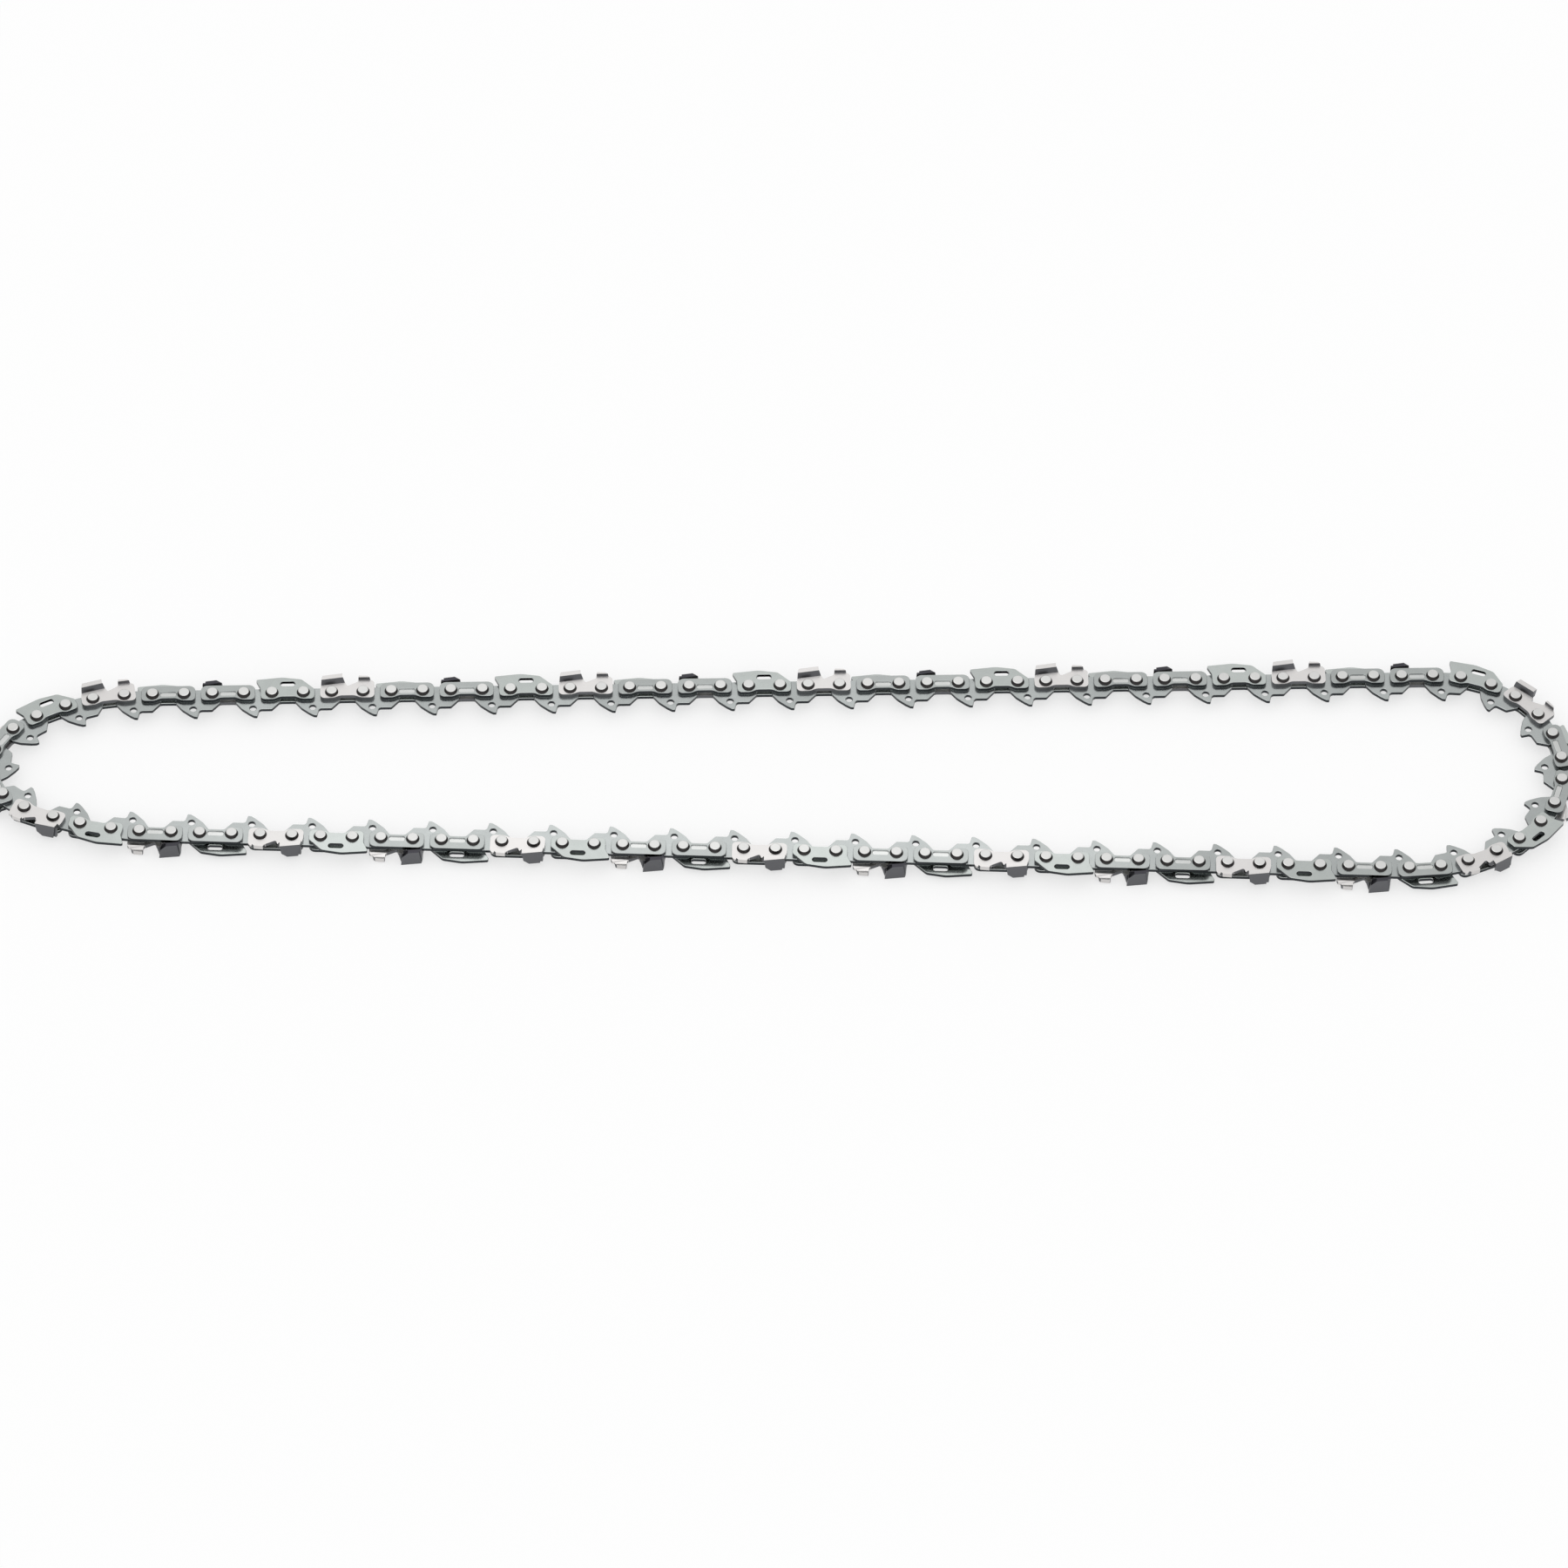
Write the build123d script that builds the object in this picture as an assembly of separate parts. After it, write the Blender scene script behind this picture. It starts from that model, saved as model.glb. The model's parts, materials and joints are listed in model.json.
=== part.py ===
from build123d import *
import math
import os

# A closed loop of low-profile saw chain, lying flat on its side.
# Millimetres. +X runs along the loop, +Y across it and +Z up, along the rivets.
# Each link is drawn with its rear rivet at the origin, X in the direction of travel,
# Y out of the loop and Z = 0 in the middle plane of the drive links.
# The links repeat many times, so round forms have few flats, and each rivet is the two heads
# on its straps. The rivets that the loop turns on have their shank as well.

# Chain
PATTERN_REPEATS = 14
OUTER_SPACING = 9.83
DRIVE_SPACING = 8.81
KERF = 7.5
SIDE_PLAY = 0.03

# Lay of the loop on the table: two straight runs and two bows, walked clockwise
LARGE_BOW_RADIUS = 36.0
LARGE_BOW_EXIT_RADIUS = 56.0
LARGE_BOW_EXIT_TURN = 45.0
SMALL_BOW_ENTRY_RADIUS = 104.0
SMALL_BOW_ENTRY_TURN = 23.0
SMALL_BOW_RADIUS = 19.0
SMALL_BOW_EXIT_RADIUS = 59.0
SMALL_BOW_EXIT_TURN = 38.0
FIRST_RIVET_BACK = 50.1

# Rivets
HEAD_RADIUS = 1.95
HEAD_HEIGHT = 1.07
HEAD_FLATS = 5
PIN_RADIUS = 1.7
PIN_FLATS = 8
PIN_CLEARANCE = 0.05
OPEN_PIVOT_CLEARANCE = 0.3

# Straps
STRAP_THICKNESS = 1.3
STRAP_GAP = 1.74
STRAP_OUTWARD = 3.3
STRAP_INWARD = 2.5
STRAP_CORNER = 1.9
ARCH_DEPTH = 1.1

# Bumper strap
BUMPER_HEIGHT = 6.2
BUMPER_FALL = 0.9
BUMPER_CREST_BACK = 1.7
BUMPER_TAIL_REACH = 1.6
BUMPER_TAIL_ROOT = 1.9
BUMPER_BROW_BACK = 0.6
BUMPER_NOSE_HEIGHT = 1.3
SLOT_LENGTH = 4.7
SLOT_WIDTH = 1.9
SLOT_ROOF = 1.25

# Drive link
DRIVE_GAUGE = 1.3
DRIVE_RIM = 0.6
TANG_DEPTH = 8.3
TANG_TIP = 4.4
TANG_BELLY_BACK = 2.5
TANG_BELLY_RISE = 1.3
HEEL_DEPTH = 5.5
HEEL_LENGTH = 2.5
OIL_HOLE_RADIUS = 1.6
OIL_HOLE_FLATS = 4
OIL_HOLE_BACK = 1.1
OIL_HOLE_RISE = 3.7

# Cutter
TOOTH_HEIGHT = 5.95
TOOTH_FALL = 0.9
TOOTH_FORWARD = 3.0
TOOTH_BACK = 3.2
TOOTH_PAST_MIDDLE = 1.7
PLATE_THICKNESS = 1.35
FILING_SETBACK = 2.2
JOGGLE_RISE = 0.6
GULLET_RISE = 0.25
GULLET_FORWARD = 5.6
GULLET_LENGTH = 2.2
GAUGE_SETTING = 0.55
GAUGE_BACK = 1.5
GAUGE_FORWARD = 1.0
GAUGE_LEAN = 1.1
CUTTER_NOSE_HEIGHT = 0.8
CUTTER_BEND_ROOM = 1.05

# Stretches of the loop that hold their shape, in rivet spaces. The two straight runs share the rest.
SMALL_BOW_LEAD = 10
SMALL_BOW_TRAIL = 11
LARGE_BOW_SPAN = 7

LINK_COUNT = 4 * PATTERN_REPEATS
RIVET_COUNT = 2 * LINK_COUNT
RUN_SPAN = (RIVET_COUNT - SMALL_BOW_LEAD - SMALL_BOW_TRAIL - LARGE_BOW_SPAN) // 2

# The four rivets that the loop turns on, counted clockwise
UPPER_RUN_PIVOT = SMALL_BOW_LEAD
LARGE_BOW_PIVOT = UPPER_RUN_PIVOT + RUN_SPAN
OPEN_PIVOT = LARGE_BOW_PIVOT + LARGE_BOW_SPAN
LOWER_RUN_PIVOT = RIVET_COUNT - SMALL_BOW_TRAIL
BORE_CLEARANCE = {
    UPPER_RUN_PIVOT: PIN_CLEARANCE,
    LARGE_BOW_PIVOT: PIN_CLEARANCE,
    OPEN_PIVOT: OPEN_PIVOT_CLEARANCE,
    LOWER_RUN_PIVOT: PIN_CLEARANCE,
}

STRAP_INNER = DRIVE_GAUGE / 2 + SIDE_PLAY
STRAP_OUTER = STRAP_INNER + STRAP_THICKNESS
STRAP_OVERHANG = (DRIVE_SPACING - STRAP_GAP) / 2
STRAP_FRONT = OUTER_SPACING + STRAP_OVERHANG


def crossing(rising, low, high):
    """The value between low and high at which a rising function passes zero."""
    halvings = 50
    for _ in range(halvings):
        middle = (low + high) / 2
        if rising(middle) < 0:
            low = middle
        else:
            high = middle
    return middle


def advance(place, leg, share=1.0):
    """Carries x, y and heading along a leg: a straight one, or an arc that turns clockwise."""
    x, y, heading = place
    length, radius = leg
    length = length * share
    if radius is None:
        return x + length * math.cos(heading), y + length * math.sin(heading), heading
    turned = heading - length / radius
    along = radius * (math.sin(heading) - math.sin(turned))
    across = radius * (math.cos(turned) - math.cos(heading))
    return x + along, y + across, turned


def arc(radius, turn):
    return turn * radius, radius


def loop_legs(upper_run, lean):
    """The legs of the loop from the start of its upper run, and how far its ends miss each other."""
    large_exit = math.radians(LARGE_BOW_EXIT_TURN)
    small_entry = math.radians(SMALL_BOW_ENTRY_TURN)
    small_exit = math.radians(SMALL_BOW_EXIT_TURN)
    before = [
        (upper_run, None),
        arc(LARGE_BOW_RADIUS, math.pi + 2 * lean - large_exit),
        arc(LARGE_BOW_EXIT_RADIUS, large_exit),
    ]
    small = [
        arc(SMALL_BOW_ENTRY_RADIUS, small_entry),
        arc(SMALL_BOW_RADIUS, math.pi - 2 * lean - small_entry - small_exit),
        arc(SMALL_BOW_EXIT_RADIUS, small_exit),
    ]
    place = (0.0, 0.0, lean)
    for leg in before:
        place = advance(place, leg)
    end = place
    for leg in small:
        end = advance(end, leg)
    forward = (math.cos(place[2]), math.sin(place[2]))
    lower_run = -end[0] * forward[0] - end[1] * forward[1]
    miss = end[1] * forward[0] - end[0] * forward[1]
    return before + [(lower_run, None)] + small, miss


def closed_loop(upper_run):
    """The legs of a loop that closes, and the heading of its upper run."""
    steepest = math.radians(20)
    lean = crossing(lambda angle: -loop_legs(upper_run, angle)[1], -steepest, steepest)
    return loop_legs(upper_run, lean)[0], lean


def point_on(legs, lean, distance):
    distance = distance % sum(length for length, _ in legs)
    place = (0.0, 0.0, lean)
    for leg in legs:
        if distance <= leg[0]:
            return advance(place, leg, distance / leg[0])[:2]
        distance -= leg[0]
        place = advance(place, leg)
    return place[:2]


def walk(legs, lean):
    """Steps from rivet to rivet: their points, and the length of path used."""
    refinements = 8
    distance = -FIRST_RIVET_BACK
    points = []
    for _ in range(LINK_COUNT):
        for spacing in (OUTER_SPACING, DRIVE_SPACING):
            here = point_on(legs, lean, distance)
            points.append(here)
            step = spacing
            for _ in range(refinements):
                there = point_on(legs, lean, distance + step)
                step += spacing - math.dist(here, there)
            distance += step
    return points, distance + FIRST_RIVET_BACK


def rivet_points():
    """All rivets, clockwise, on the loop whose length takes the links exactly."""

    def too_long(upper_run):
        legs, lean = closed_loop(upper_run)
        return sum(length for length, _ in legs) - walk(legs, lean)[1]

    whole = LINK_COUNT * (OUTER_SPACING + DRIVE_SPACING)
    upper_run = crossing(too_long, whole / 5, whole / 2)
    return walk(*closed_loop(upper_run))[0]


def plate(points, low, high):
    """A flat stamping: a closed outline in the link's plane, from one height to another."""
    return Pos(0, 0, low) * extrude(make_face(Polyline(*points, close=True)), amount=high - low)


def drawn_out(section, rear, front):
    """A bent section, given by its outward and sideways reach, drawn out along the link."""
    line = Polyline(*[(rear, outward, side) for outward, side in section], close=True)
    return extrude(make_face(line), amount=front - rear, dir=(1, 0, 0))


def inner_edge():
    """The edge that runs on the guide bar, hollowed between its two feet, rear to front."""
    return [
        (-STRAP_OVERHANG, -STRAP_INWARD),
        (OUTER_SPACING / 2, ARCH_DEPTH - STRAP_INWARD),
        (STRAP_FRONT, -STRAP_INWARD),
    ]


def rivet_heads():
    """The two heads closed down on an outer link."""
    head = extrude(RegularPolygon(HEAD_RADIUS, HEAD_FLATS), amount=HEAD_HEIGHT)
    return [Pos(x, 0, STRAP_OUTER) * head for x in (0, OUTER_SPACING)]


def rivet_shank(x):
    """The shank of a rivet between its two straps, for a drive link to turn on."""
    return Pos(x, 0, -STRAP_INNER) * extrude(RegularPolygon(PIN_RADIUS, PIN_FLATS), amount=2 * STRAP_INNER)


def tie_strap():
    outline = inner_edge() + [
        (STRAP_FRONT, STRAP_OUTWARD - STRAP_CORNER),
        (STRAP_FRONT - STRAP_CORNER, STRAP_OUTWARD),
        (STRAP_CORNER - STRAP_OVERHANG, STRAP_OUTWARD),
        (-STRAP_OVERHANG, STRAP_OUTWARD - STRAP_CORNER),
    ]
    return plate(outline, STRAP_INNER, STRAP_OUTER) + rivet_heads()


def bumper_strap():
    """A strap with a hump that swings out ahead of the cutter, and a long slot in the hump."""
    middle = OUTER_SPACING / 2
    outline = inner_edge() + [
        (STRAP_FRONT, BUMPER_NOSE_HEIGHT),
        (OUTER_SPACING - BUMPER_BROW_BACK, BUMPER_HEIGHT - BUMPER_FALL),
        (middle - BUMPER_CREST_BACK, BUMPER_HEIGHT),
        (-STRAP_OVERHANG - BUMPER_TAIL_REACH, BUMPER_HEIGHT - BUMPER_FALL),
        (-STRAP_OVERHANG, BUMPER_TAIL_ROOT),
    ]
    slot = Pos(middle, BUMPER_HEIGHT - SLOT_ROOF - SLOT_WIDTH / 2, (STRAP_INNER + STRAP_OUTER) / 2)
    hump = plate(outline, STRAP_INNER, STRAP_OUTER) - slot * Box(SLOT_LENGTH, SLOT_WIDTH, STRAP_THICKNESS)
    return hump + rivet_heads()


def filed_away():
    """What the file takes off the front of the tooth, so that its outer corner leads."""
    side = KERF / 2
    ahead = TOOTH_FORWARD + GULLET_LENGTH / 2
    foot = GULLET_FORWARD - GULLET_LENGTH / 2
    down = Vector(foot - TOOTH_FORWARD, HEAD_RADIUS + GULLET_RISE - TOOTH_HEIGHT, 0)
    line = Polyline(
        (TOOTH_FORWARD, TOOTH_HEIGHT, side),
        (ahead, TOOTH_HEIGHT, side),
        (ahead, TOOTH_HEIGHT, -TOOTH_PAST_MIDDLE),
        (TOOTH_FORWARD - FILING_SETBACK, TOOTH_HEIGHT, -TOOTH_PAST_MIDDLE),
        close=True,
    )
    return extrude(make_face(line), amount=down.length, dir=down)


def cutter():
    """A right-hand cutter: a wall with a joggle above the rivets, the depth gauge at its front
    and, behind the gullet, the tooth, as wide as the kerf and folded over the chain."""
    side = KERF / 2
    joggle = HEAD_RADIUS + CUTTER_BEND_ROOM
    floor = HEAD_RADIUS + GULLET_RISE
    underside = TOOTH_HEIGHT - PLATE_THICKNESS
    gauge_height = TOOTH_HEIGHT - GAUGE_SETTING
    wall = [(-STRAP_INWARD, STRAP_INNER), (-STRAP_INWARD, STRAP_OUTER), (joggle, STRAP_OUTER)]
    tooth = wall + [
        (joggle + JOGGLE_RISE, side),
        (TOOTH_HEIGHT, side),
        (TOOTH_HEIGHT, -TOOTH_PAST_MIDDLE),
        (underside, -TOOTH_PAST_MIDDLE),
        (underside, side - STRAP_THICKNESS),
        (joggle + JOGGLE_RISE, STRAP_INNER),
    ]
    gauge = wall + [
        (gauge_height, STRAP_OUTER + GAUGE_LEAN),
        (gauge_height, STRAP_INNER + GAUGE_LEAN),
        (joggle, STRAP_INNER),
    ]
    outline = inner_edge() + [
        (STRAP_FRONT, CUTTER_NOSE_HEIGHT),
        (OUTER_SPACING + GAUGE_FORWARD, gauge_height),
        (OUTER_SPACING - GAUGE_BACK, gauge_height),
        (GULLET_FORWARD + GULLET_LENGTH / 2, floor),
        (GULLET_FORWARD - GULLET_LENGTH / 2, floor),
        (TOOTH_FORWARD, TOOTH_HEIGHT),
        (-TOOTH_BACK, TOOTH_HEIGHT - TOOTH_FALL),
    ]
    folded = drawn_out(tooth, -STRAP_OVERHANG, GULLET_FORWARD) + drawn_out(gauge, GULLET_FORWARD, STRAP_FRONT)
    shaped = folded & plate(outline, -TOOTH_PAST_MIDDLE, side)
    return shaped - filed_away() + rivet_heads()


def drive_link(rear_clearance=None, front_clearance=None):
    """A drive link, its tang pointing into the loop. A clearance bores it for a rivet to turn in."""
    end = PIN_RADIUS + OPEN_PIVOT_CLEARANCE + DRIVE_RIM
    outline = [
        (-end, end),
        (DRIVE_SPACING + end, end),
        (DRIVE_SPACING + end, -STRAP_INWARD),
        (DRIVE_SPACING, -HEEL_DEPTH),
        (DRIVE_SPACING - HEEL_LENGTH, -HEEL_DEPTH),
        (TANG_TIP, -TANG_DEPTH),
        (TANG_TIP - TANG_BELLY_BACK, TANG_BELLY_RISE - TANG_DEPTH),
        (-end, -STRAP_INWARD),
    ]
    hole = Pos(TANG_TIP - OIL_HOLE_BACK, OIL_HOLE_RISE - TANG_DEPTH, -DRIVE_GAUGE / 2)
    link = plate(outline, -DRIVE_GAUGE / 2, DRIVE_GAUGE / 2)
    link -= hole * extrude(RegularPolygon(OIL_HOLE_RADIUS, OIL_HOLE_FLATS), amount=DRIVE_GAUGE)
    for x, clearance in ((0, rear_clearance), (DRIVE_SPACING, front_clearance)):
        if clearance is not None:
            bore = RegularPolygon(PIN_RADIUS + clearance, PIN_FLATS, major_radius=False)
            link -= Pos(x, 0, -DRIVE_GAUGE / 2) * extrude(bore, amount=DRIVE_GAUGE)
    return link


def stretch_of(rivet):
    """The stretch of the loop that a link belongs to, from the index of its rear rivet."""
    if UPPER_RUN_PIVOT <= rivet < LARGE_BOW_PIVOT:
        return "upper_run"
    if LARGE_BOW_PIVOT <= rivet < OPEN_PIVOT:
        return "large_bow"
    if OPEN_PIVOT <= rivet < LOWER_RUN_PIVOT:
        return "lower_run"
    return "small_bow"


def placed_at(points, rivet):
    """The place of the link whose rear rivet this is."""
    rear = points[rivet]
    front = points[(rivet + 1) % RIVET_COUNT]
    turn = math.degrees(math.atan2(front[1] - rear[1], front[0] - rear[0]))
    return Location((rear[0], rear[1], 0), (0, 0, turn))


def outer_links(points, nodes):
    """The four outer links of the pattern, all round the loop, onto their nodes."""
    tie = tie_strap()
    bumper = bumper_strap()
    right_cutter = cutter()
    for link in range(LINK_COUNT):
        rear = 2 * link
        place = placed_at(points, rear)
        ties = f"{stretch_of(rear)}_tie_straps"
        bumpers = f"{stretch_of(rear)}_bumper_straps"
        number = link // 4 + 1
        upper_node, upper, lower_node, lower = (
            (ties, tie, f"left_cutter_{number:02d}", right_cutter),
            (bumpers, bumper, ties, tie),
            (f"right_cutter_{number:02d}", right_cutter, ties, tie),
            (ties, tie, bumpers, bumper),
        )[link % 4]
        for rivet, x in ((rear, 0), (rear + 1, OUTER_SPACING)):
            if rivet in BORE_CLEARANCE:
                upper = upper + rivet_shank(x)
        nodes.setdefault(upper_node, []).append(place * upper)
        nodes.setdefault(lower_node, []).append(place * mirror(lower, about=Plane.XY))


def drive_links(points, nodes):
    """The drive links, bored where they turn on a rivet of the next stretch."""
    plain = drive_link()
    for link in range(LINK_COUNT):
        rear = 2 * link + 1
        clearances = BORE_CLEARANCE.get(rear), BORE_CLEARANCE.get(rear + 1)
        bored = plain if clearances == (None, None) else drive_link(*clearances)
        node = f"{stretch_of(rear)}_drive_links"
        nodes.setdefault(node, []).append(placed_at(points, rear) * bored)


def main():
    points = rivet_points()
    nodes = {}
    outer_links(points, nodes)
    drive_links(points, nodes)
    box = Compound([piece for pieces in nodes.values() for piece in pieces]).bounding_box()
    rest = Pos(-box.center().X, -box.center().Y, -box.min.Z)
    os.makedirs("parts", exist_ok=True)
    for node, pieces in nodes.items():
        export_step(rest * Compound(pieces), f"parts/{node}.step")
    for name, rivet in (
        ("upper run", UPPER_RUN_PIVOT),
        ("large bow", LARGE_BOW_PIVOT),
        ("open", OPEN_PIVOT),
        ("lower run", LOWER_RUN_PIVOT),
    ):
        x, y = points[rivet]
        print(f"{name} pivot: x {x - box.center().X:.3f}, y {y - box.center().Y:.3f}")


main()
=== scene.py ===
import json
import math

import bmesh
import bpy
from mathutils import Matrix, Vector


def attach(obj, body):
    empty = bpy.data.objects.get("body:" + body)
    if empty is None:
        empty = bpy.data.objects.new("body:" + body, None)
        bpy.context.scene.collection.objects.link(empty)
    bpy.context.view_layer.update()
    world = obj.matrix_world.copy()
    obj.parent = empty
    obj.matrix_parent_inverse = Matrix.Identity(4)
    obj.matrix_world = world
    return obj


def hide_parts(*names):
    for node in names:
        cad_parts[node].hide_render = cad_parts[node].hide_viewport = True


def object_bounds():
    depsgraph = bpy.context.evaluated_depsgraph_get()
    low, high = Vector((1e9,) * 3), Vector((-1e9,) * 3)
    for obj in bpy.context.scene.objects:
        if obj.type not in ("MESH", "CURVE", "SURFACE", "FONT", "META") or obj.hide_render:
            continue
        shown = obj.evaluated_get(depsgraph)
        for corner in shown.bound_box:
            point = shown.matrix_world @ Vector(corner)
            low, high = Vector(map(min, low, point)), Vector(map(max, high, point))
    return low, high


bl_info = {
    "name": "Saw Chain Loop",
    "version": (1, 0, 0),
    "blender": (4, 5, 0),
    "location": "View3D > Sidebar > Saw Chain",
    "description": "Dresses the packed loop of saw chain with its links, cutters and rivets",
    "category": "Object",
}

# Metres, in the frame's axes: +X along the loop, +Y across it, +Z up along the rivets.
# A link is drawn with its rear rivet at the origin, X in the direction of travel,
# Y out of the loop and Z = 0 in the middle plane of the drive links.

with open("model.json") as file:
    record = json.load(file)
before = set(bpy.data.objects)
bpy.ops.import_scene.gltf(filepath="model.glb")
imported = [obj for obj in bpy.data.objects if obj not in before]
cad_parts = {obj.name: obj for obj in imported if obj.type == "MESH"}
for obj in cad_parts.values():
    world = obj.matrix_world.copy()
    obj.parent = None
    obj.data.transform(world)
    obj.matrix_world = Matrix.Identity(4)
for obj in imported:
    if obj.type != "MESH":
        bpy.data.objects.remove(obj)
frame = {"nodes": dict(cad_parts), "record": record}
CAD_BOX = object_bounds()
BODIES = frame["record"]["behaviour"]["bodies"]
MM = 0.001
MERGE = 0.001 * MM
LEVEL = 0.01 * MM
MIDDLE = (CAD_BOX[0].z + CAD_BOX[1].z) / 2
# Half of the line along the loop's middle, which stops a little short of the bows' centres.
HALF_LINE = (CAD_BOX[1].x - CAD_BOX[1].y) * 0.9
# The width of the camera's sensor, in Blender's own unit for it, the millimetre.
SENSOR_WIDTH = 36


def solids_of(node):
    """The separate solids of a CAD node, in its own order, each as a list of its corners."""
    bm = bmesh.new()
    bm.from_mesh(frame["nodes"][node].data)
    bmesh.ops.remove_doubles(bm, verts=bm.verts, dist=MERGE)
    seen = set()
    solids = []
    for start in bm.verts:
        if start in seen:
            continue
        seen.add(start)
        reached = [start]
        corners = []
        while reached:
            vertex = reached.pop()
            corners.append(vertex.co.copy())
            for edge in vertex.link_edges:
                neighbour = edge.other_vert(vertex)
                if neighbour not in seen:
                    seen.add(neighbour)
                    reached.append(neighbour)
        solids.append(corners)
    bm.free()
    return solids


def levels_of(node):
    """The heights above the middle plane at which a node has corners, lowest first, to 0.01 mm."""
    heights = {round(abs(vertex.co.z - MIDDLE), 5) for vertex in frame["nodes"][node].data.vertices}
    return sorted(heights)


STRAP_INNER, STRAP_OUTER, HEAD_TOP = levels_of("upper_run_tie_straps")
HALF_GAUGE = levels_of("upper_run_drive_links")[0]


class Place:
    """Where a link lies: its body, its rear and front rivets, and its side of the drive links."""

    def __init__(self, body, rear, front, upper=True):
        self.body = body
        self.rear = rear
        self.front = front
        self.upper = upper

    def heading(self):
        along = self.front - self.rear
        return math.atan2(along.y, along.x)

    def to_link(self, point):
        """A point of the frame in the link's own axes, an outer link's outer face up."""
        local = Matrix.Rotation(-self.heading(), 3, "Z") @ (point - self.rear)
        if not self.upper:
            local.z = -local.z
        return local


def mean(points):
    return sum(points, Vector((0, 0, 0))) / len(points)


def flat(point):
    """A point moved into the middle plane."""
    return Vector((point.x, point.y, MIDDLE))


def outer_place(body, corners):
    """The place of an outer link, from the tops of its two rivet heads. The loop runs clockwise."""
    tops = [corner for corner in corners if abs(abs(corner.z - MIDDLE) - HEAD_TOP) < LEVEL]
    apart = max((top - tops[0]).length for top in tops) / 2
    first = flat(mean([top for top in tops if (top - tops[0]).length < apart]))
    second = flat(mean([top for top in tops if (top - tops[0]).length >= apart]))
    inside = Vector((max(-HALF_LINE, min(HALF_LINE, first.x)), 0, MIDDLE)) - first
    clockwise = (second - first).cross(inside).z < 0
    rear, front = (first, second) if clockwise else (second, first)
    return Place(body, rear, front, tops[0].z > MIDDLE)


def outer_places(kind):
    """The places of all outer links of a kind, with one of its solids in the link's own axes."""
    places = []
    solid = None
    for body, nodes in BODIES.items():
        for node in nodes:
            if kind not in node:
                continue
            for corners in solids_of(node):
                place = outer_place(body, corners)
                places.append(place)
                if solid is None:
                    solid = [place.to_link(corner) for corner in corners]
    return places, solid


def drive_places(ties):
    """The places of the drive links, from an outer link's front rivet to the next one's rear."""
    spans = []
    for behind in ties:
        ahead = min(
            (tie for tie in ties if tie is not behind),
            key=lambda tie: (tie.rear - behind.front).length,
        )
        spans.append((behind.front, ahead.rear))
    places = []
    solid = None
    for body in BODIES:
        for corners in solids_of(f"{body}_drive_links"):
            middle = flat(mean(corners))
            rear, front = min(spans, key=lambda span: ((span[0] + span[1]) / 2 - middle).length)
            places.append(Place(body, rear, front))
            if solid is None:
                solid = [places[0].to_link(corner) for corner in corners]
    return places, solid


def reach(corners):
    """The lowest and highest corner of a solid in its link's own axes."""
    low = Vector(map(min, zip(*corners)))
    high = Vector(map(max, zip(*corners)))
    return low, high


TIES, TIE_SOLID = outer_places("tie_straps")
BUMPERS, BUMPER_SOLID = outer_places("bumper_straps")
CUTTERS, CUTTER_SOLID = outer_places("cutter")
DRIVES, DRIVE_SOLID = drive_places(TIES)
SPACING = (TIES[0].front - TIES[0].rear).length
DRIVE_SPACING = (DRIVES[0].front - DRIVES[0].rear).length
TIE_LOW, TIE_HIGH = reach(TIE_SOLID)
BUMPER_LOW, BUMPER_HIGH = reach(BUMPER_SOLID)
CUTTER_LOW, CUTTER_HIGH = reach(CUTTER_SOLID)
DRIVE_LOW, DRIVE_HIGH = reach(DRIVE_SOLID)


def length(name, description, default):
    return bpy.props.FloatProperty(
        name=name, description=description, default=default, min=0, precision=5, unit="LENGTH"
    )


def lengths(name, description, default):
    return bpy.props.FloatVectorProperty(
        name=name,
        description=description,
        default=default,
        size=len(default),
        precision=5,
        unit="LENGTH",
    )


def angle(name, description, degrees):
    return bpy.props.FloatProperty(
        name=name, description=description, default=math.radians(degrees), subtype="ANGLE"
    )


def colour(name, description, default):
    return bpy.props.FloatVectorProperty(
        name=name, description=description, default=default, min=0, max=1, size=3, subtype="COLOR"
    )


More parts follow.
